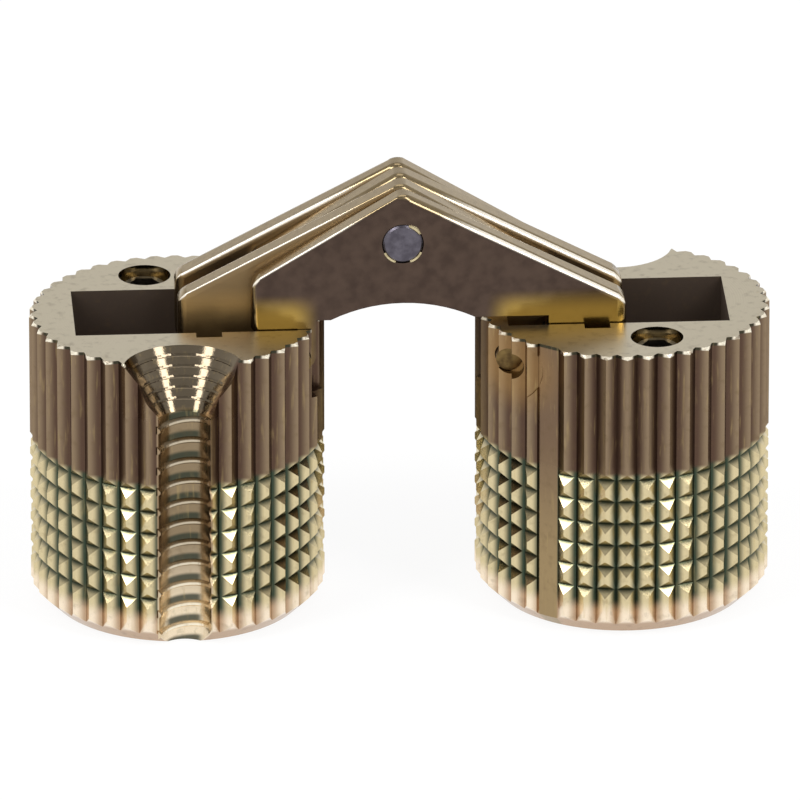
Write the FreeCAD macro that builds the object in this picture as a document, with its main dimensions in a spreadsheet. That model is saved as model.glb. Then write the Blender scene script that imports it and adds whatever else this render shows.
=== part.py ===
import FreeCAD, Part
import math
import os
import Sketcher

# Invisible barrel hinge, drawn fully open. Origin on the floor midway between the barrels:
# X across the two barrels, Y along the pivot pins (front is -Y), Z up. All sizes in millimetres.
SIZES = {
    "barrel_dia": 16.0, "barrel_height": 16.5, "half_gap": 4.1,
    "foot_chamfer": 1.1, "rim_chamfer": 0.15,
    "flute_count": 43, "flute_depth": 0.45, "flute_width": 1.24,
    "ring_count": 6, "ring_drop": 7.35, "ring_pitch": 1.28, "ring_depth": 0.4, "ring_width": 0.92,
    "slot_width": 6.2, "outer_wall": 2.4, "inner_wall": 3.3, "slot_depth": 14.6,
    "notch_wall": 1.6, "notch_depth": 5.6, "slit_depth": 4.0, "slit_play": 0.06,
    "guide_inset": 6.4, "guide_width": 1.4, "guide_depth": 0.65, "guide_drop": 14.2,
    "screw_groove_dia": 2.9, "sink_dia": 6.6, "sink_depth": 3.1,
    "lock_x": 1.5, "lock_shift": 0.175, "lock_hole_dia": 2.85, "lock_hole_depth": 9.0,
    "lock_screw_dia": 2.75, "lock_screw_length": 6.0, "lock_recess": 0.5,
    "socket_flats": 1.5, "socket_depth": 1.6, "lock_chamfer": 0.3,
    "pivot_inset": 1.6, "pivot_drop": 1.65, "pivot_pin_dia": 1.4, "pivot_pin_length": 7.4,
    "spot_dia": 3.4, "spot_wall": 2.3,
    "channel_angle": 54.0, "channel_width": 1.3, "channel_depth": 0.5,
    "side_play": 0.13, "leaf_play": 0.04, "pin_play": 0.03,
    "centre_rise": 4.86, "centre_pin_dia": 2.2, "centre_proud": 0.07, "centre_chamfer": 0.12,
    "apex_rise": 7.73, "apex_round": 0.85, "apex_share": 0.04,
    "leg_outer": 1.6, "leg_inner": 2.6, "tip_rise": 1.38, "shoulder_reach": 8.2, "shoulder_rise": 2.76,
    "arm_rise": 0.5, "arm_flat": 0.78, "arch_rise": 1.41,
    "slider_drop": 4.46, "slider_pin_dia": 1.3, "long_leg_round": 1.25,
    "short_leg_round": 1.02, "leg_round_share": 1.03,
}


class Dim:
    """A length with the spreadsheet expression that drives it."""

    def __init__(self, value, text):
        self.value, self.text = value, text

    @staticmethod
    def of(other):
        return other if isinstance(other, Dim) else Dim(float(other), repr(float(other)))

    def __add__(self, other):
        other = Dim.of(other)
        return Dim(self.value + other.value, f"({self.text} + {other.text})")

    def __sub__(self, other):
        other = Dim.of(other)
        return Dim(self.value - other.value, f"({self.text} - {other.text})")

    def __mul__(self, other):
        other = Dim.of(other)
        return Dim(self.value * other.value, f"({self.text} * {other.text})")

    def __truediv__(self, other):
        other = Dim.of(other)
        return Dim(self.value / other.value, f"({self.text} / {other.text})")

    def __neg__(self):
        return Dim(-self.value, f"(-1 * {self.text})")


doc = FreeCAD.newDocument("barrel_hinge")
sheet = doc.addObject("Spreadsheet::Sheet", "sizes")
for row, (alias, number) in enumerate(SIZES.items(), start=1):
    sheet.set(f"A{row}", alias)
    sheet.set(f"B{row}", str(number))
    sheet.setAlias(f"B{row}", alias)
doc.recompute()


def size(alias):
    return Dim(float(SIZES[alias]), f"sizes.{alias}")


def origin_feature(body, role):
    return next(f for f in body.Origin.OriginFeatures if f.Role == role)


def new_body(name):
    body = doc.addObject("PartDesign::Body", name)
    body.Label = name
    return body


def new_sketch(body, name, plane, lift=None, turn=None, about=(0, 0, 1)):
    sketch = doc.addObject("Sketcher::SketchObject", name)
    body.addObject(sketch)
    sketch.AttachmentSupport = [(origin_feature(body, plane), "")]
    sketch.MapMode = "FlatFace"
    if lift is not None:
        sketch.setExpression(".AttachmentOffset.Base.z", lift.text)
    if turn is not None:
        sketch.AttachmentOffset = FreeCAD.Placement(
            FreeCAD.Vector(0, 0, 0), FreeCAD.Rotation(FreeCAD.Vector(*about), turn.value))
        sketch.setExpression(".AttachmentOffset.Rotation.Angle", turn.text)
    return sketch


def bind(sketch, constraint, dim):
    index = sketch.addConstraint(constraint)
    sketch.setExpression(f"Constraints[{index}]", dim.text)


def pin_point(sketch, geo, pos, x, y):
    """Hold one sketch point at x, y from the sketch origin."""
    for kind, axis, dim in (("DistanceX", -2, Dim.of(x)), ("DistanceY", -1, Dim.of(y))):
        if dim.value == 0.0:
            sketch.addConstraint(Sketcher.Constraint("PointOnObject", geo, pos, axis))
        elif dim.value > 0.0:
            bind(sketch, Sketcher.Constraint(kind, -1, 1, geo, pos, dim.value), dim)
        else:
            bind(sketch, Sketcher.Constraint(kind, geo, pos, -1, 1, -dim.value), -dim)


def vector(point):
    return FreeCAD.Vector(Dim.of(point[0]).value, Dim.of(point[1]).value, 0)


def arc_geometry(start, end, bulge):
    """Arc between two points. bulge is its radius, positive where it bulges left of start to end."""
    chord = end - start
    half, reach = chord.Length / 2, abs(bulge.value)
    left = FreeCAD.Vector(-chord.y, chord.x, 0).normalize()
    if bulge.value < 0:
        left = left * -1
    centre = start + chord * 0.5 - left * max(reach ** 2 - half ** 2, 0.0) ** 0.5
    first, last = (end, start) if bulge.value > 0 else (start, end)
    angles = [math.atan2(point.y - centre.y, point.x - centre.x) for point in (first, last)]
    if angles[1] < angles[0]:
        angles[1] += 2 * math.pi
    return Part.ArcOfCircle(Part.Circle(centre, FreeCAD.Vector(0, 0, 1), reach), *angles)


def outline(sketch, corners):
    """Closed outline. A corner is (x, y), or (x, y, bulge) where an arc runs to the next corner."""
    points = [vector(c) for c in corners]
    first, count = sketch.GeometryCount, len(corners)
    ends = []
    for i, corner in enumerate(corners):
        start, end = points[i], points[(i + 1) % count]
        if len(corner) == 3:
            sketch.addGeometry(arc_geometry(start, end, corner[2]))
        else:
            sketch.addGeometry(Part.LineSegment(start, end))
        ends.append((2, 1) if len(corner) == 3 and corner[2].value > 0 else (1, 2))
    for i, corner in enumerate(corners):
        geo, after = first + i, (i + 1) % count
        sketch.addConstraint(
            Sketcher.Constraint("Coincident", geo, ends[i][1], first + after, ends[after][0]))
        pin_point(sketch, geo, ends[i][0], corner[0], corner[1])
        if len(corner) == 3:
            bulge = corner[2] if corner[2].value > 0 else -corner[2]
            bind(sketch, Sketcher.Constraint("Radius", geo, bulge.value), bulge)


def box(sketch, x0, x1, y0, y1):
    outline(sketch, [(x0, y0), (x1, y0), (x1, y1), (x0, y1)])


def ring(sketch, x, y, diameter):
    geo = sketch.addGeometry(Part.Circle(vector((x, y)), FreeCAD.Vector(0, 0, 1), diameter.value / 2))
    pin_point(sketch, geo, 3, x, y)
    bind(sketch, Sketcher.Constraint("Diameter", geo, diameter.value), diameter)


def add_feature(body, kind, name, sketch, length=None, through=False, both=False, flip=False):
    feature = body.newObject(f"PartDesign::{kind}", name)
    feature.Profile = sketch
    if both:
        feature.SideType = "Symmetric"
    if through:
        feature.Type = "ThroughAll"
    elif length is not None:
        feature.setExpression("Length", length.text)
    feature.Reversed = flip
    doc.recompute()
    return feature


def add_turned(body, kind, name, sketch):
    feature = body.newObject(f"PartDesign::{kind}", name)
    feature.Profile = sketch
    feature.ReferenceAxis = (sketch, ["V_Axis"])
    feature.Angle = 360
    doc.recompute()
    return feature


def add_chamfer(body, name, base, edges, dim):
    feature = body.newObject("PartDesign::Chamfer", name)
    feature.Base = (base, edges)
    feature.setExpression("Size", dim.text)
    doc.recompute()
    return feature


def end_faces(shape):
    """Names of the flat faces square to Y."""
    names = []
    for index, face in enumerate(shape.Faces, start=1):
        if face.Surface.TypeId == "Part::GeomPlane" and abs(face.Surface.Axis.y) > 0.999:
            names.append(f"Face{index}")
    return names


def around(body, pattern):
    """Repeats a cut at every flute."""
    pattern.Axis = (origin_feature(body, "Z_Axis"), [""])
    pattern.Angle = 360
    pattern.setExpression("Occurrences", size("flute_count").text)


def place(body, x=None, y=None, z=None, half_turn=False):
    if half_turn:
        body.Placement = FreeCAD.Placement(
            FreeCAD.Vector(0, 0, 0), FreeCAD.Rotation(FreeCAD.Vector(0, 0, 1), 180))
    for axis, dim in (("x", x), ("y", y), ("z", z)):
        if dim is not None:
            body.setExpression(f".Placement.Base.{axis}", dim.text)


def same_piece(source, name):
    """A second piece of the same make, in a body of its own."""
    body = new_body(name)
    body.BaseFeature = source
    return body


radius = size("barrel_dia") / 2
height = size("barrel_height")
axis_offset = radius + size("half_gap")
half_slot = size("slot_width") / 2
over = Dim.of(1.0)
stack = size("slot_width") - size("side_play") * 2
leaf = (stack - size("leaf_play") * 3) / 4
step = leaf + size("leaf_play")

# Barrel: turned blank, milled slot, drilled holes, then the knurl.
barrel = new_body("left_barrel")
blank = new_sketch(barrel, "blank_profile", "XZ_Plane")
foot, rim = size("foot_chamfer"), size("rim_chamfer")
outline(blank, [(0, 0), (radius - foot, 0), (radius, foot), (radius, height - rim),
                (radius - rim, height), (0, height)])
add_turned(barrel, "Revolution", "blank", blank)

slot = new_sketch(barrel, "slot_profile", "XY_Plane", lift=height)
slot_inner, notch_end = radius - size("inner_wall"), radius - size("notch_wall")
box(slot, size("outer_wall") - radius, slot_inner, -half_slot, half_slot)
add_feature(barrel, "Pocket", "slot", slot, size("slot_depth"))

notch = new_sketch(barrel, "notch_profile", "XY_Plane", lift=height)
box(notch, slot_inner - over, notch_end, -half_slot, half_slot)
add_feature(barrel, "Pocket", "notch", notch, size("notch_depth"))

slits = new_sketch(barrel, "slit_profile", "XY_Plane", lift=height)
slit_half = leaf / 2 + size("slit_play")
for middle in (step * -1.5, step * 0.5):
    box(slits, notch_end - over, radius + over, middle - slit_half, middle + slit_half)
add_feature(barrel, "Pocket", "slits", slits, size("slit_depth"))

guide = new_sketch(barrel, "guide_profile", "XY_Plane", lift=height)
guide_x, guide_half = radius - size("guide_inset"), size("guide_width") / 2
guide_wall = half_slot + size("guide_depth")
box(guide, guide_x - guide_half, guide_x + guide_half, -guide_wall, guide_wall)
add_feature(barrel, "Pocket", "guides", guide, size("guide_drop"))

lock = new_sketch(barrel, "lock_hole_profile", "XY_Plane", lift=height)
lock_y = (half_slot + radius - size("flute_depth")) / 2 - size("lock_shift")
ring(lock, -size("lock_x"), lock_y, size("lock_hole_dia"))
add_feature(barrel, "Pocket", "lock_hole", lock, size("lock_hole_depth"))

groove = new_sketch(barrel, "screw_groove_profile", "XY_Plane", lift=height)
ring(groove, 0, -radius, size("screw_groove_dia"))
add_feature(barrel, "Pocket", "screw_groove", groove, through=True)

sink = barrel.newObject("PartDesign::SubtractiveCone", "screw_sink")
sink.AttachmentSupport = [(origin_feature(barrel, "XY_Plane"), "")]
sink.MapMode = "FlatFace"
sink.setExpression("Radius1", (size("screw_groove_dia") / 2).text)
sink.setExpression("Radius2", (size("sink_dia") / 2).text)
sink.setExpression("Height", size("sink_depth").text)
sink.setExpression(".AttachmentOffset.Base.y", (-radius).text)
sink.setExpression(".AttachmentOffset.Base.z", (height - size("sink_depth")).text)
doc.recompute()

pivot_x, pivot_z = radius - size("pivot_inset"), height - size("pivot_drop")
cross = new_sketch(barrel, "pivot_hole_profile", "XZ_Plane", lift=-(radius + over))
ring(cross, pivot_x, pivot_z, size("pivot_pin_dia") + size("pin_play") * 2)
pin_stop = size("pivot_pin_length") / 2 + size("side_play")
add_feature(barrel, "Pocket", "pivot_hole", cross, radius + over + pin_stop, flip=True)

spot = new_sketch(barrel, "spot_profile", "XZ_Plane", lift=size("spot_wall") - radius)
ring(spot, pivot_x, pivot_z, size("spot_dia"))
add_feature(barrel, "Pocket", "spot_face", spot, radius)

channel = new_sketch(barrel, "channel_profile", "XY_Plane", turn=size("channel_angle"))
channel_half = size("channel_width") / 2
box(channel, radius - size("channel_depth"), radius + over, -channel_half, channel_half)
add_feature(barrel, "Pocket", "channel", channel, through=True, flip=True)

slope = Dim.of(0.2)
flute_cut = new_sketch(barrel, "flute_profile", "XY_Plane")
flute_out = size("flute_width") / 2 * (size("flute_depth") + slope) / size("flute_depth")
outline(flute_cut, [(radius - size("flute_depth"), 0), (radius + slope, -flute_out),
                    (radius + slope, flute_out)])
flute = add_feature(barrel, "Pocket", "flute", flute_cut, through=True, flip=True)
flutes = barrel.newObject("PartDesign::PolarPattern", "flutes")
flutes.Originals = [flute]
around(barrel, flutes)
barrel.Tip = flutes
doc.recompute()

# Pyramids: straight V cuts across every ridge between two flutes, in rings one below the other.
ring_half = size("ring_width") / 2
ring_z = height - size("ring_drop")
ring_out = ring_half * (size("ring_depth") + slope) / size("ring_depth")
ring_cut = new_sketch(barrel, "ring_profile", "XZ_Plane", turn=Dim.of(180) / size("flute_count"),
                      about=(0, 1, 0))
outline(ring_cut, [(radius - size("ring_depth"), ring_z), (radius + slope, ring_z - ring_out),
                   (radius + slope, ring_z + ring_out)])
tooth = add_feature(barrel, "Pocket", "tooth_cut", ring_cut,
                    size("barrel_dia") * math.pi / size("flute_count"), both=True)
rows = barrel.newObject("PartDesign::LinearPattern", "tooth_rows")
rows.Direction = (origin_feature(barrel, "Z_Axis"), [""])
rows.Reversed = True
rows.setExpression("Length", (size("ring_pitch") * (size("ring_count") - 1)).text)
rows.setExpression("Occurrences", size("ring_count").text)
turns = barrel.newObject("PartDesign::PolarPattern", "tooth_turns")
around(barrel, turns)
teeth = barrel.newObject("PartDesign::MultiTransform", "teeth")
teeth.Originals = [tooth]
teeth.Transformations = [rows, turns]
barrel.Tip = teeth
doc.recompute()
place(barrel, x=-axis_offset)
place(same_piece(barrel, "right_barrel"), x=axis_offset, half_turn=True)

# Link leaves: one stamped outline, four pieces, every second one turned end for end.
short_x, slider_x = pivot_x - axis_offset, axis_offset - guide_x
centre_z, slider_z = height + size("centre_rise"), height - size("slider_drop")
arm_z, apex_z = height + size("arm_rise"), height + size("apex_rise")
share = size("apex_share")
short_round, long_round = size("short_leg_round"), size("long_leg_round")
near_half = size("leg_round_share")
leg_outer, leg_inner = slider_x + size("leg_outer"), slider_x - size("leg_inner")
arch_half = -short_x - short_round - size("arm_flat")
sag = size("arch_rise") - size("arm_rise")
arch_radius = (arch_half * arch_half + sag * sag) / (sag * 2)

link = new_body("link_a_front")
leaf_cut = new_sketch(link, "leaf_profile", "XZ_Plane")
outline(leaf_cut, [
    (leg_outer * share, apex_z - (size("apex_rise") - size("tip_rise")) * share),
    (leg_outer, height + size("tip_rise")),
    (leg_outer, height - size("pivot_drop")),
    (slider_x + long_round, slider_z, long_round * near_half),
    (slider_x - long_round, slider_z),
    (leg_inner, height - size("pivot_drop")),
    (leg_inner, arm_z),
    (arch_half, arm_z, -arch_radius),
    (-arch_half, arm_z),
    (short_x + short_round, arm_z),
    (short_x + short_round, pivot_z, short_round * near_half),
    (short_x - short_round, pivot_z),
    (-size("shoulder_reach"), height),
    (-size("shoulder_reach"), height + size("shoulder_rise")),
    (-(size("shoulder_reach") * share), apex_z - (size("apex_rise") - size("shoulder_rise")) * share,
     size("apex_round")),
])
ring(leaf_cut, 0, centre_z, size("centre_pin_dia") + size("pin_play") * 2)
ring(leaf_cut, short_x, pivot_z, size("pivot_pin_dia") + size("pin_play") * 2)
ring(leaf_cut, slider_x, slider_z, size("slider_pin_dia") + size("pin_play") * 2)
add_feature(link, "Pad", "leaf", leaf_cut, leaf, both=True)
place(link, y=-(step * 1.5))
for name, steps, turned in (("link_b_front", -0.5, True), ("link_a_rear", 0.5, False),
                            ("link_b_rear", 1.5, True)):
    place(same_piece(link, name), y=step * steps, half_turn=turned)


def pin_body(name, x, z, diameter, length):
    body = new_body(name)
    profile = new_sketch(body, f"{name}_profile", "XZ_Plane")
    ring(profile, x, z, diameter)
    add_feature(body, "Pad", f"{name}_bar", profile, length, both=True)
    return body


centre_pin = pin_body("centre_pin", Dim.of(0), centre_z, size("centre_pin_dia"),
                      stack + size("centre_proud") * 2)
add_chamfer(centre_pin, "centre_pin_ends", centre_pin.Tip, end_faces(centre_pin.Shape),
            size("centre_chamfer"))
left_pivot_pin = pin_body("left_pivot_pin", short_x, pivot_z, size("pivot_pin_dia"),
                          size("pivot_pin_length"))
right_slider_pin = pin_body("right_slider_pin", slider_x, slider_z, size("slider_pin_dia"),
                            stack + size("side_play"))
place(same_piece(left_pivot_pin, "right_pivot_pin"), half_turn=True)
place(same_piece(right_slider_pin, "left_slider_pin"), half_turn=True)

# Grub screw in the top face.
grub = new_body("left_set_screw")
grub_half, grub_top = size("lock_screw_dia") / 2, height - size("lock_recess")
grub_end, grub_bevel = grub_top - size("lock_screw_length"), size("lock_chamfer")
grub_cut = new_sketch(grub, "grub_profile", "XZ_Plane")
outline(grub_cut, [(0, grub_end), (grub_half, grub_end), (grub_half, grub_top - grub_bevel),
                   (grub_half - grub_bevel, grub_top), (0, grub_top)])
add_turned(grub, "Revolution", "grub", grub_cut)
socket = new_sketch(grub, "socket_profile", "XY_Plane", lift=grub_top)
flat = size("socket_flats") / 2
across = size("socket_flats") / 3 ** 0.5
outline(socket, [(across, 0), (across / 2, flat), (-(across / 2), flat), (-across, 0),
                 (-(across / 2), -flat), (across / 2, -flat)])
add_feature(grub, "Pocket", "socket", socket, size("socket_depth"))
place(grub, x=-(axis_offset + size("lock_x")), y=lock_y)
place(same_piece(grub, "right_set_screw"), x=axis_offset + size("lock_x"), y=-lock_y,
      half_turn=True)

doc.recompute()
for item in doc.Objects:
    if "Invalid" in item.State or "Error" in item.State:
        raise RuntimeError(f"{item.Label} did not compute: {item.State}")
bodies = [item for item in doc.Objects if item.TypeId == "PartDesign::Body"]
for body in bodies:
    if body.Shape.isNull() or not body.Shape.isValid():
        raise RuntimeError(f"{body.Label} has no valid shape")
os.makedirs("parts", exist_ok=True)
for body in bodies:
    body.Shape.exportStep(f"parts/{body.Label}.step")
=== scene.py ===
import math

import bmesh
import bpy
from mathutils import Matrix, Vector


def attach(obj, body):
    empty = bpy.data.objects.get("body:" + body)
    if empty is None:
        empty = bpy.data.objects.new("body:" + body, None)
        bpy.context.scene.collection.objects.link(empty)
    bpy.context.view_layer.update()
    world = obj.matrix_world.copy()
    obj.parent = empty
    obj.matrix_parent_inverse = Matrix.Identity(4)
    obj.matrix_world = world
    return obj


# Lengths are in millimetres, with z up from the barrels' bottom faces.
MM = 0.001
HEIGHT = 16.5  # the barrels' top faces
OFFSET = 12.1  # from the middle of the hinge to a barrel's axis
RADIUS = 8.0
CHANNEL = math.radians(54)  # the side channel, seen from the barrel's axis
PIN_Z = HEIGHT + 4.86  # the centre pin's axis
PIN_RADIUS = 1.1
LOCK = (-1.5, 5.15)  # the set screw's axis, across and along
PIVOT = (6.4, HEIGHT - 1.65)  # the pivot pin's axis, across and up
GROOVE = 1.45  # radius of the screw groove in the barrel's side
SINK = 3.3  # radius of its countersink in the top face
SINK_DEPTH = 3.1
RIB_START = 0.9  # the thread marks in the groove
RIB_PITCH = 1.2
RIB_HEIGHT = 0.2
RIB_WIDTH = 0.46
RIB_CREST = 0.06  # half the width of a rib's flat top
RIB_REACH = 72  # degrees to either side of the groove's middle
RING_REACH = 62  # the same for the rings in the countersink
RING_DEPTHS = (0.45, 0.95, 1.45, 1.95, 2.45)
RING_PROFILE = ((0.03, -0.17), (-0.025, 0.02), (-0.025, 0.06), (0.03, 0.17))  # outwards, down
STAKE_ANGLES = (52, 228, 312)  # the punched lips round the centre pin, in degrees
STAKE_REACH = 21
STAKES = {"front": (-2.97, -1), "rear": (2.97, 1)}  # the pin's ends and which way they face
EDGE_ROUNDING = 0.42
EDGE_LEVEL = PIN_Z + 0.94  # edges of a link above this roof line are rounded
EDGE_SLOPE = 0.6
PIN_CLEAR = 1.6  # the pin's hole stays sharp

# Where the barrel's colours, painted light and finish change, from the first value to the second one.
FOOT_TOP = (1.3, 2.2)
SLOT_FLOOR = (1.4, 1.6)
KNURL_TOP = (9.3, 9.65)
CONE_FLOOR = (13.2, 13.5)
FACE_LEVEL = (16.2, 16.4)
RIM_LEVEL = (16.3, 16.36)
RIM_TOOTH = (7.68, 7.8)
SKIN = (7.4, 7.5)
GROOVE_WALL = (1.5, 1.6)
SINK_WALL = (3.3, 3.45)

FLOOR_HALF = 4.0  # in metres, as the lamps are
FLOOR_Z = -0.00002
FLOOR_WHITE = 1.05
FLOOR_SHARE = 0.85  # how much of the floor's look is plain white, so that the shadow stays
SKY = ((0.0, 1.0), (0.45, 0.62), (1.0, 0.3))  # grey by height
SKY_STRENGTH = 1.05
LAMP_AIM = Vector((0, 0, 0.012))
CAMERA_AZIMUTH = -3.45
CAMERA_ELEVATION = 23.07
CAMERA_DISTANCE = 952.8
CAMERA_RIGHT = 0.02
CAMERA_DOWN = 5.10
FOCAL_PIXELS = 17590
PICTURE = 800
SENSOR = 36

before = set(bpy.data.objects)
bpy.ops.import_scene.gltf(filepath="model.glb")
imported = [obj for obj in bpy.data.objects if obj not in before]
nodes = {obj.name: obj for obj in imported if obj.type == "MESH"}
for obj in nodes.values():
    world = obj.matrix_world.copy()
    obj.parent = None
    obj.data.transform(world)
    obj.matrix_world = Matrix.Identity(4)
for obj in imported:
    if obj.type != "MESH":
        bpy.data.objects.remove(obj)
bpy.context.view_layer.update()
scene = bpy.context.scene
scene.view_settings.view_transform = "Standard"


def tint(red, green, blue):
    """An sRGB colour, 0 to 255, as the linear colour that a shader takes."""
    parts = []
    for part in (red, green, blue):
        part /= 255
        parts.append(part / 12.92 if part <= 0.04045 else ((part + 0.055) / 1.055) ** 2.4)
    return (*parts, 1.0)


def put(tree, value, socket):
    """Links another socket's value, or writes a plain one."""
    if isinstance(value, bpy.types.NodeSocket):
        tree.links.new(value, socket)
    else:
        socket.default_value = value


def math_node(tree, operation, *values):
    made = tree.nodes.new("ShaderNodeMath")
    made.operation = operation
    for value, socket in zip(values, made.inputs):
        put(tree, value, socket)
    return made.outputs[0]


class Shader:
    """A metal material with short calls for the nodes that it is made of."""

    def __init__(self, name):
        self.material = bpy.data.materials.new(name)
        self.material.use_nodes = True
        self.tree = self.material.node_tree
        self.tree.nodes.clear()
        output = self.node("ShaderNodeOutputMaterial")
        self.surface = self.node("ShaderNodeBsdfPrincipled")
        self.surface.inputs["Metallic"].default_value = 1.0
        self.put(self.surface.outputs[0], output.inputs[0])
        self.place = self.node("ShaderNodeTexCoord")
        scaled = self.node("ShaderNodeVectorMath", operation="SCALE")
        self.put(self.place.outputs["Object"], scaled.inputs[0])
        scaled.inputs["Scale"].default_value = 1 / MM
        self.millimetres = scaled.outputs[0]

    def node(self, kind, **values):
        made = self.tree.nodes.new(kind)
        for key, value in values.items():
            setattr(made, key, value)
        return made

    def put(self, value, socket):
        put(self.tree, value, socket)

    def math(self, operation, *values):
        return math_node(self.tree, operation, *values)

    def chain(self, operation, values):
        result = values[0]
        for value in values[1:]:
            result = self.math(operation, result, value)
        return result

    def times(self, *values):
        return self.chain("MULTIPLY", values)

    def plus(self, *values):
        return self.chain("ADD", values)

    def most(self, *values):
        return self.chain("MAXIMUM", values)

    def minus(self, first, second):
        return self.math("SUBTRACT", first, second)

    def rest(self, share):
        return self.minus(1.0, share)

    def size(self, value):
        return self.math("ABSOLUTE", value)

    def distance(self, first, second):
        return self.math("SQRT", self.plus(self.times(first, first), self.times(second, second)))

    def between(self, value, low, high):
        """0 at low and 1 at high, with a smooth change between them."""
        made = self.node("ShaderNodeMapRange", interpolation_type="SMOOTHSTEP")
        for socket, entry in zip(made.inputs, (value, low, high, 0.0, 1.0)):
            self.put(entry, socket)
        return made.outputs[0]

    def mix(self, share, first, second):
        """The first colour where share is 0 and the second one where it is 1."""
        made = self.node("ShaderNodeMix", data_type="RGBA")
        self.put(share, made.inputs["Factor"])
        self.put(first, made.inputs[6])
        self.put(second, made.inputs[7])
        return made.outputs[2]

    def split(self, vector):
        made = self.node("ShaderNodeSeparateXYZ")
        self.put(vector, made.inputs[0])
        return made.outputs

    def point(self):
        """The place on the piece in millimetres, as three sockets."""
        return self.split(self.millimetres)

    def normal(self):
        return self.split(self.place.outputs["Normal"])

    def noise(self, scale, detail=3.0, stretch=(1, 1, 1)):
        """Grain with about scale cells to the millimetre."""
        spread = self.node("ShaderNodeMapping")
        self.put(self.millimetres, spread.inputs["Vector"])
        spread.inputs["Scale"].default_value = stretch
        made = self.node("ShaderNodeTexNoise")
        self.put(spread.outputs[0], made.inputs["Vector"])
        made.inputs["Scale"].default_value = scale
        made.inputs["Detail"].default_value = detail
        return made.outputs[0]

    def bump(self, height, strength, distance):
        made = self.node("ShaderNodeBump")
        made.inputs["Strength"].default_value = strength
        made.inputs["Distance"].default_value = distance * MM
        self.put(height, made.inputs["Height"])
        self.put(made.outputs[0], self.surface.inputs["Normal"])

    def colour(self, value):
        self.put(value, self.surface.inputs["Base Color"])

    def roughness(self, value):
        self.put(value, self.surface.inputs["Roughness"])

    def metallic(self, value):
        self.put(value, self.surface.inputs["Metallic"])


def outer_wall(brass, across, along, out, z):
    """Brown flutes, pale pyramids with dark gaps, a pale foot and the plain side channel. The zones carry
    painted reflection, darker high up and paler at the foot, and each valley is darker than its crest,
    partly as tarnish and partly as painted shade.
    """
    flutes = brass.mix(brass.between(out, 7.62, 7.98), tint(90, 70, 58), tint(142, 122, 98))
    knurl = brass.mix(brass.between(out, 7.58, 7.86), tint(58, 70, 57), tint(216, 200, 158))
    foot = brass.mix(brass.between(out, 7.55, 7.9), tint(186, 156, 126), tint(250, 232, 206))
    wall = brass.mix(brass.between(z, *KNURL_TOP), knurl, flutes)
    wall = brass.mix(brass.between(z, *FOOT_TOP), foot, wall)
    strip = brass.size(brass.minus(brass.math("ARCTAN2", along, across), CHANNEL))
    # Painted reflection: the side channel is paler towards the bottom.
    plain = brass.mix(brass.between(z, 3.0, 12.0), tint(158, 136, 100), tint(122, 100, 80))
    return brass.mix(brass.between(strip, 0.07, 0.085), plain, wall)


def groove_wall(brass, across, inward, in_groove, z):
    """Colour of the screw groove, painted paler towards the foot and the sides as reflection, with
    painted shade bands above the ribs, and a mask of the painted glints on the crests between them.
    """
    turn = brass.math("DIVIDE", brass.math("ARCTAN2", across, inward), 2 * math.pi)
    lead = brass.math("DIVIDE", brass.minus(z, RIB_START), RIB_PITCH)
    phase = brass.math("FRACT", brass.minus(lead, turn))
    aside = brass.size(across)
    middle = brass.between(aside, 1.15, 0.7)
    low = brass.between(z, 6.5, 1.0)
    # Painted shade: a dark band just above each rib.
    painted_shade_band = brass.times(brass.between(phase, 0.1, 0.18), brass.between(phase, 0.55, 0.35), middle)
    # Painted glint: a pale, less metallic line on each rib's crest, brighter towards the foot.
    crest_glint = brass.between(brass.size(brass.minus(phase, 0.5)), 0.4, 0.46)
    crest_glint = brass.times(crest_glint, middle, in_groove, brass.plus(0.4, brass.times(low, 0.6)))
    # Painted reflection: the wall is paler towards the foot and towards its sides.
    bare = brass.mix(low, tint(142, 124, 98), tint(240, 222, 192))
    flank = brass.mix(low, tint(160, 138, 110), tint(224, 204, 172))
    bare = brass.mix(brass.between(aside, 0.8, 1.3), bare, flank)
    wall = brass.mix(brass.times(painted_shade_band, 0.9), bare, tint(54, 62, 52))
    return brass.mix(crest_glint, wall, tint(250, 240, 216)), crest_glint


def pivot_recess(brass, across, along, out, z):
    """A mask of the gilt recess round the pivot hole, with a haze about it."""
    aside = brass.distance(brass.minus(across, PIVOT[0]), brass.minus(z, PIVOT[1]))
    spot = brass.times(brass.between(aside, 1.85, 1.75), brass.between(out, 7.5, 7.2))
    haze = brass.times(brass.between(aside, 3.2, 1.0), 0.45)
    return brass.times(brass.most(spot, haze), brass.between(along, 1.9, 2.1))


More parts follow.
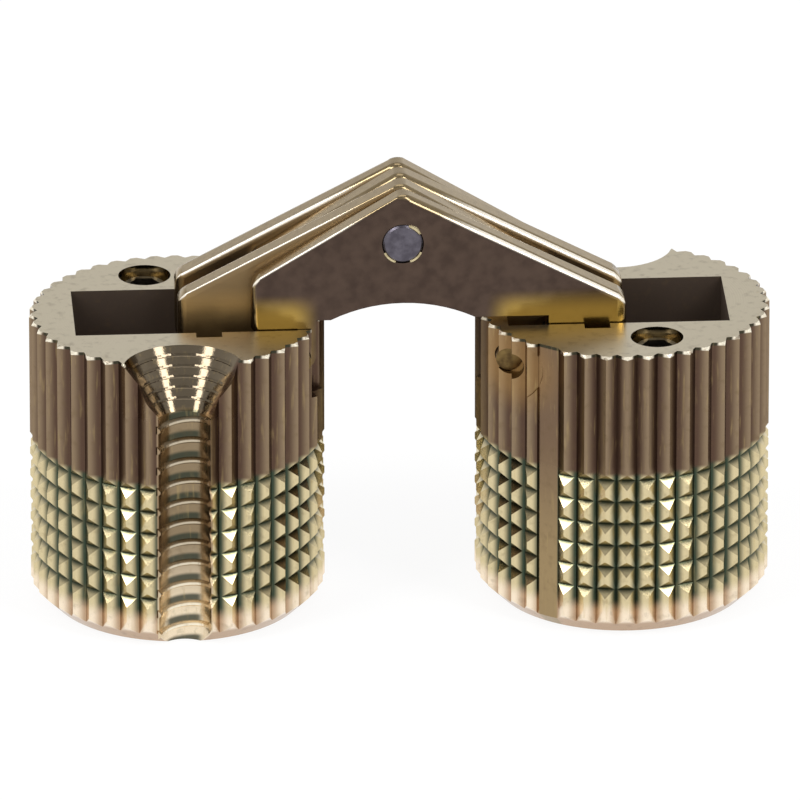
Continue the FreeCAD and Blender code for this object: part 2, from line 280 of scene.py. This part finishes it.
def barrel_brass(name, centre, half_turn):
    """Tarnished brass, dark in the valleys of the flutes as tarnish and painted shade, bright on the
    crests and on the turned face, with painted glints on the rim teeth and the groove's ribs and painted
    shade in the rim notches and the slot.
    """
    brass = Shader(name)
    x, y, z = brass.point()
    facing = brass.normal()
    sign = -1.0 if half_turn else 1.0
    across = brass.times(brass.minus(x, centre), sign)
    along = brass.times(y, sign)
    out = brass.distance(across, along)
    inward = brass.plus(along, RADIUS)
    beside = brass.distance(across, inward)
    grain = brass.noise(2.2)
    fine = brass.noise(14.0, 2.0)
    streak = brass.noise(1.6, 3.0, (3.0, 3.0, 0.3))

    # Masks of the surfaces.
    face = brass.times(brass.between(facing[2], 0.8, 0.95), brass.between(z, *FACE_LEVEL))
    not_face = brass.rest(face)
    base = brass.times(brass.between(facing[2], -0.8, -0.95), brass.between(z, 0.3, 0.1))
    skin = brass.between(out, *SKIN)
    hole = brass.distance(brass.minus(across, LOCK[0]), brass.minus(along, LOCK[1]))
    hole = brass.times(brass.between(hole, 1.6, 1.5), brass.between(z, 6.0, 7.0))
    past_groove = brass.between(beside, *GROOVE_WALL)
    past_sink = brass.between(beside, *SINK_WALL)
    above_cone_floor = brass.between(z, *CONE_FLOOR)
    cone = brass.times(brass.rest(past_sink), above_cone_floor)
    above_slot_floor = brass.between(z, *SLOT_FLOOR)
    deep = brass.times(past_sink, brass.between(out, 7.4, 7.2), above_slot_floor, brass.rest(hole))
    buried = brass.times(deep, not_face)
    outside = brass.most(brass.between(out, 7.2, 7.5), brass.rest(above_slot_floor))
    rim = brass.times(skin, brass.between(z, *RIM_LEVEL))
    on_tooth = brass.between(out, *RIM_TOOTH)
    # Masks of the painted glints on the rim teeth and the painted shade in the notches between them.
    tooth_glint = brass.times(rim, brass.between(grain, 0.25, 0.55), on_tooth)
    notch_shade = brass.times(rim, brass.rest(on_tooth))

    groove, crest_glint = groove_wall(brass, across, inward, brass.rest(past_groove), z)
    inside = brass.mix(above_cone_floor, groove, tint(122, 110, 92))
    # Painted shade: the slot's inside is dark brown.
    inside = brass.mix(past_sink, inside, tint(82, 68, 57))
    inside = brass.mix(hole, inside, tint(176, 160, 124))
    colour = brass.mix(outside, inside, outer_wall(brass, across, along, out, z))
    colour = brass.mix(pivot_recess(brass, across, along, out, z), colour, tint(170, 132, 78))
    colour = brass.mix(past_groove, groove, colour)
    # Painted glints on the rim teeth and painted shade in the notches.
    colour = brass.mix(tooth_glint, colour, tint(255, 246, 224))
    colour = brass.mix(notch_shade, colour, tint(62, 60, 48))
    colour = brass.mix(face, colour, tint(212, 201, 176))
    colour = brass.mix(base, colour, tint(172, 154, 120))
    spots = brass.times(brass.between(grain, 0.5, 0.8), 0.3)
    colour = brass.mix(spots, colour, tint(104, 86, 60))
    wear_and_painted_highlight = brass.times(brass.between(streak, 0.55, 0.75), 0.25, brass.rest(deep))
    brass.colour(brass.mix(wear_and_painted_highlight, colour, tint(190, 166, 112)))

    dull = brass.most(face, brass.times(brass.between(z, *KNURL_TOP), skin))
    polished = brass.times(brass.most(cone, hole), not_face)
    rough = brass.plus(0.13, brass.times(fine, 0.14), brass.times(dull, 0.12),
                       brass.times(base, 0.35), brass.times(buried, 0.45))
    brass.roughness(brass.minus(rough, brass.times(polished, 0.1)))
    # The painted shade in the slot and the painted glints lose most of their metal, so that their colours
    # show.
    painted_light_matt = brass.most(buried, brass.times(tooth_glint, not_face), crest_glint)
    brass.metallic(brass.rest(brass.times(painted_light_matt, 0.6)))
    turning = brass.math("SINE", brass.times(out, 46.0))
    brass.bump(brass.plus(brass.times(turning, face, 0.4), brass.times(fine, 0.6)), 0.2, 0.02)
    return brass.material


def link_brass():
    """Rolled plate: brown outer faces, golden inner ones, low corners painted with a golden reflection,
    and a painted white highlight along the rounded top edges.
    """
    plate = Shader("link_plate")
    x, y, z = plate.point()
    facing = plate.normal()
    sideways = plate.size(facing[1])
    flat = plate.between(sideways, 0.75, 0.95)
    mottle = plate.noise(1.3, 5.0)
    streak = plate.noise(3.0, 3.0, (0.25, 1, 3.0))

    face = plate.mix(plate.between(mottle, 0.3, 0.75), tint(86, 71, 62), tint(72, 59, 52))
    # Painted reflection: the low corners of the faces carry the golden reflection of the barrels.
    corner = plate.times(plate.between(z, 18.6, 17.1), plate.between(plate.size(x), 4.4, 6.2))
    face = plate.mix(corner, face, tint(182, 150, 76))
    inner = plate.between(plate.size(y), 2.9, 2.8)
    # The inner faces are golden, painted paler towards the bottom as a reflection of the barrels.
    gilt = plate.mix(plate.between(z, 18.6, 17.2), tint(138, 116, 84), tint(180, 148, 98))
    face = plate.mix(inner, face, gilt)
    edge = plate.mix(streak, tint(176, 156, 118), tint(138, 120, 92))
    # Painted highlight: a white, less metallic line along the front of the rounded top edges.
    wear_and_painted_highlight = plate.times(plate.between(sideways, 0.3, 0.45), plate.between(sideways, 0.96, 0.85),
                       plate.between(facing[2], 0.1, 0.3), plate.between(z, 23.2, 21.6))
    plate.colour(plate.mix(wear_and_painted_highlight, plate.mix(flat, edge, face), tint(255, 246, 230)))
    plate.metallic(plate.rest(plate.times(wear_and_painted_highlight, 0.75)))
    plate.roughness(plate.plus(0.14, plate.times(mottle, 0.14), plate.times(inner, flat, 0.2)))
    plate.bump(streak, 0.2, 0.015)
    return plate.material


def steel(name, light, dark):
    """Drawn steel with fine scratches."""
    bar = Shader(name)
    cloud = bar.noise(2.4, 4.0)
    scratch = bar.noise(9.0, 2.0, (1, 0.3, 2.5))
    bar.colour(bar.mix(bar.between(cloud, 0.3, 0.7), light, dark))
    bar.roughness(bar.plus(0.26, bar.times(scratch, 0.14)))
    bar.bump(scratch, 0.18, 0.012)
    return bar.material


barrel_metal = {"left": barrel_brass("barrel_left", -OFFSET, False),
                "right": barrel_brass("barrel_right", OFFSET, True)}
plate_metal = link_brass()
pin_metal = steel("pin", tint(106, 102, 111), tint(84, 80, 88))
screw_metal = steel("screw", tint(132, 124, 108), tint(92, 84, 74))
pivot_metal = steel("pivot", tint(128, 106, 66), tint(84, 66, 42))
lip_metal = steel("pin_lip", tint(214, 200, 160), tint(170, 156, 120))

for node, piece in nodes.items():
    if node.endswith("_barrel"):
        metal = barrel_metal[node.split("_")[0]]
    elif node.startswith("link_"):
        metal = plate_metal
    elif node.endswith("_screw"):
        metal = screw_metal
    elif node.endswith("pivot_pin"):
        metal = pivot_metal
    else:
        metal = pin_metal
    piece.data.materials.clear()
    piece.data.materials.append(metal)


def upper_edges():
    """Marks the outline of a link above the barrels, so that only it is rounded."""
    group = bpy.data.node_groups.new("upper_edges", "GeometryNodeTree")
    for way in ("INPUT", "OUTPUT"):
        group.interface.new_socket("Geometry", in_out=way, socket_type="NodeSocketGeometry")

    def step(operation, *values):
        return math_node(group, operation, *values)

    place = group.nodes.new("ShaderNodeSeparateXYZ")
    put(group, group.nodes.new("GeometryNodeInputPosition").outputs[0], place.inputs[0])
    x, _, z = place.outputs
    bend = group.nodes.new("GeometryNodeInputMeshEdgeAngle").outputs[0]
    roof = step("ADD", z, step("MULTIPLY", step("ABSOLUTE", x), EDGE_SLOPE))
    above = step("GREATER_THAN", roof, EDGE_LEVEL * MM)
    rise = step("SUBTRACT", z, PIN_Z * MM)
    apart = step("ADD", step("MULTIPLY", x, x), step("MULTIPLY", rise, rise))
    clear = step("GREATER_THAN", apart, (PIN_CLEAR * MM) ** 2)
    corner = step("GREATER_THAN", bend, math.radians(50))

    smooth = group.nodes.new("GeometryNodeSetShadeSmooth")
    smooth.domain = "FACE"
    sharp = group.nodes.new("GeometryNodeSetShadeSmooth")
    sharp.domain = "EDGE"
    sharp.inputs["Shade Smooth"].default_value = False
    put(group, step("GREATER_THAN", bend, math.radians(30)), sharp.inputs["Selection"])
    store = group.nodes.new("GeometryNodeStoreNamedAttribute")
    store.data_type, store.domain = "FLOAT", "EDGE"
    store.inputs["Name"].default_value = "bevel_weight_edge"
    put(group, step("MULTIPLY", step("MULTIPLY", above, clear), corner), store.inputs["Value"])
    line = (group.nodes.new("NodeGroupInput"), smooth, sharp, store, group.nodes.new("NodeGroupOutput"))
    for first, second in zip(line, line[1:]):
        put(group, first.outputs[0], second.inputs[0])
    return group


def soften(piece, group):
    """Rounds the upper edges of a link, as a press tool leaves them."""
    weld = piece.modifiers.new("weld", "WELD")
    weld.merge_threshold = 0.0005 * MM
    piece.modifiers.new("marks", "NODES").node_group = group
    edges = piece.modifiers.new("edges", "BEVEL")
    edges.width = EDGE_ROUNDING * MM
    edges.segments = 5
    edges.limit_method = "WEIGHT"
    edges.use_clamp_overlap = False
    edges.face_strength_mode = "FSTR_AFFECTED"
    flats = piece.modifiers.new("flats", "WEIGHTED_NORMAL")
    flats.weight = 100
    flats.keep_sharp = True
    flats.use_face_influence = True


edge_marks = upper_edges()
for node, piece in nodes.items():
    if node.startswith("link_"):
        soften(piece, edge_marks)


def new_piece(name, mesh, metal, body):
    bmesh.ops.recalc_face_normals(mesh, faces=mesh.faces)
    piece = bpy.data.objects.new(name, bpy.data.meshes.new(name))
    mesh.to_mesh(piece.data)
    mesh.free()
    piece.data.materials.append(metal)
    scene.collection.objects.link(piece)
    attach(piece, body)


def sweep(mesh, rings):
    """Joins equal closed rings of points into a closed bar."""
    rows = [[mesh.verts.new(Vector(point) * MM) for point in ring] for ring in rings]
    count = len(rows[0])
    for row, other in zip(rows, rows[1:]):
        for index in range(count):
            step = (index + 1) % count
            mesh.faces.new((row[index], row[step], other[step], other[index]))
    mesh.faces.new(rows[0][::-1])
    mesh.faces.new(rows[-1])


def fan(reach, steps):
    """Angles from -reach to reach degrees, in radians."""
    return [math.radians(-reach + 2 * reach * step / steps) for step in range(steps + 1)]


def groove_ribs(side, sign):
    """Thread marks on the wall of the half-round screw groove."""
    mesh = bmesh.new()
    middle = Vector((sign * OFFSET, sign * RADIUS, 0))
    turns = 1 + int((HEIGHT - SINK_DEPTH - RIB_START - 0.5) / RIB_PITCH)
    for turn in range(turns):
        level = RIB_START + turn * RIB_PITCH
        rings = []
        for angle in fan(RIB_REACH, 16):
            top = -RIB_HEIGHT * math.cos(angle) ** 0.5
            height = level + RIB_PITCH * angle / (2 * math.pi)
            way = Vector((-sign * math.sin(angle), -sign * math.cos(angle), 0))
            profile = ((0.05, -RIB_WIDTH / 2), (top, -RIB_CREST), (top, RIB_CREST), (0.05, RIB_WIDTH / 2))
            rings.append([middle + way * (GROOVE + out) + Vector((0, 0, height + up))
                          for out, up in profile])
        sweep(mesh, rings)
    new_piece(side + "_groove_ribs", mesh, barrel_metal[side], side + "_barrel_body")


def sink_rings(side, sign):
    """Tool marks round the countersink."""
    mesh = bmesh.new()
    middle = Vector((sign * OFFSET, sign * RADIUS, 0))
    lean = (SINK - GROOVE) / SINK_DEPTH
    for depth in RING_DEPTHS:
        rings = []
        for angle in fan(RING_REACH, 24):
            way = Vector((math.sin(angle), -sign * math.cos(angle), 0))
            rings.append([middle + way * (SINK - lean * (depth + down) + out)
                          + Vector((0, 0, HEIGHT - depth - down)) for out, down in RING_PROFILE])
        sweep(mesh, rings)
    new_piece(side + "_sink_rings", mesh, barrel_metal[side], side + "_barrel_body")


def stake_marks(end):
    """Lips punched over the rim of the centre pin."""
    mesh = bmesh.new()
    level, sign = STAKES[end]
    for mark in STAKE_ANGLES:
        rings = []
        for step in range(9):
            share = step / 4 - 1
            angle = math.radians(mark + STAKE_REACH * share)
            swell = (1 - share * share) ** 0.5
            way = Vector((math.cos(angle), 0, math.sin(angle)))
            profile = ((-0.13, -0.04), (-0.06, 0.03 + 0.07 * swell), (0.05, 0.02 + 0.06 * swell),
                       (0.02 + 0.12 * swell, -0.04))
            rings.append([way * (PIN_RADIUS + out) + Vector((0, level + sign * rise, PIN_Z))
                          for out, rise in profile])
        sweep(mesh, rings)
    new_piece("pin_lips_" + end, mesh, lip_metal, "links_a")


for side, sign in (("left", -1), ("right", 1)):
    groove_ribs(side, sign)
    sink_rings(side, sign)
for end in STAKES:
    stake_marks(end)

# A pale floor that looks white and still shows the hinge's shadow.
floor_mesh = bpy.data.meshes.new("floor")
floor_mesh.from_pydata([(x * FLOOR_HALF, y * FLOOR_HALF, FLOOR_Z)
                        for x, y in ((-1, -1), (1, -1), (1, 1), (-1, 1))], [], [(0, 1, 2, 3)])
floor = bpy.data.objects.new("floor", floor_mesh)
scene.collection.objects.link(floor)
paint = bpy.data.materials.new("floor")
paint.use_nodes = True
tree = paint.node_tree
tree.nodes.clear()
rays = tree.nodes.new("ShaderNodeLightPath")
seen = math_node(tree, "MAXIMUM", rays.outputs["Is Camera Ray"], rays.outputs["Is Glossy Ray"])
seen = math_node(tree, "MAXIMUM", seen, rays.outputs["Is Transmission Ray"])
matt = tree.nodes.new("ShaderNodeBsdfDiffuse")
matt.inputs["Color"].default_value = (0.9, 0.9, 0.9, 1)
glow = tree.nodes.new("ShaderNodeEmission")
glow.inputs["Strength"].default_value = FLOOR_WHITE
blend = tree.nodes.new("ShaderNodeMixShader")
put(tree, math_node(tree, "MULTIPLY", seen, FLOOR_SHARE), blend.inputs[0])
put(tree, matt.outputs[0], blend.inputs[1])
put(tree, glow.outputs[0], blend.inputs[2])
put(tree, blend.outputs[0], tree.nodes.new("ShaderNodeOutputMaterial").inputs[0])
floor.data.materials.append(paint)

world = bpy.data.worlds.new("studio")
scene.world = world
world.use_nodes = True
tree = world.node_tree
tree.nodes.clear()
split = tree.nodes.new("ShaderNodeSeparateXYZ")
put(tree, tree.nodes.new("ShaderNodeTexCoord").outputs["Generated"], split.inputs[0])
ramp = tree.nodes.new("ShaderNodeValToRGB")
stops = ramp.color_ramp.elements
stops.new(SKY[1][0])
for stop, (height, grey) in zip(stops, SKY):
    stop.position = height
    stop.color = (grey, grey, grey, 1)
put(tree, split.outputs[2], ramp.inputs[0])
sky = tree.nodes.new("ShaderNodeBackground")
sky.inputs["Strength"].default_value = SKY_STRENGTH
put(tree, ramp.outputs[0], sky.inputs[0])
put(tree, sky.outputs[0], tree.nodes.new("ShaderNodeOutputWorld").inputs[0])


def direction(azimuth, elevation):
    """The way from the hinge to a lamp or the camera, with the front at azimuth 0."""
    turn, rise = math.radians(azimuth), math.radians(elevation)
    return Vector((math.sin(turn) * math.cos(rise), -math.cos(turn) * math.cos(rise), math.sin(rise)))


def lamp(name, azimuth, elevation, distance, size, radiance):
    """A soft box that faces the hinge, in metres."""
    data = bpy.data.lights.new(name, "AREA")
    data.shape = "RECTANGLE"
    data.size, data.size_y = size
    data.energy = radiance * math.pi * size[0] * size[1]
    back = direction(azimuth, elevation)
    light = bpy.data.objects.new(name, data)
    light.location = LAMP_AIM + back * distance
    light.rotation_mode = "QUATERNION"
    light.rotation_quaternion = (-back).to_track_quat("-Z", "Y")
    scene.collection.objects.link(light)


lamp("left_box", -56, 45, 0.35, (0.09, 0.21), 7.0)
lamp("right_box", 47, 45, 0.35, (0.09, 0.21), 7.0)
lamp("top_box", 170, 70, 0.4, (0.2, 0.2), 1.2)

back = direction(CAMERA_AZIMUTH, CAMERA_ELEVATION)
right = direction(CAMERA_AZIMUTH + 90, 0)
up = back.cross(right)
lens = bpy.data.cameras.new("camera")
lens.sensor_width = SENSOR
lens.lens = FOCAL_PIXELS / PICTURE * SENSOR
lens.clip_start, lens.clip_end = 0.01, 50
camera = bpy.data.objects.new("camera", lens)
place = Vector((0, 0, HEIGHT)) + back * CAMERA_DISTANCE + right * CAMERA_RIGHT - up * CAMERA_DOWN
turned = Matrix((right, up, back)).transposed().to_4x4()
camera.matrix_world = Matrix.Translation(place * MM) @ turned
scene.collection.objects.link(camera)
scene.camera = camera
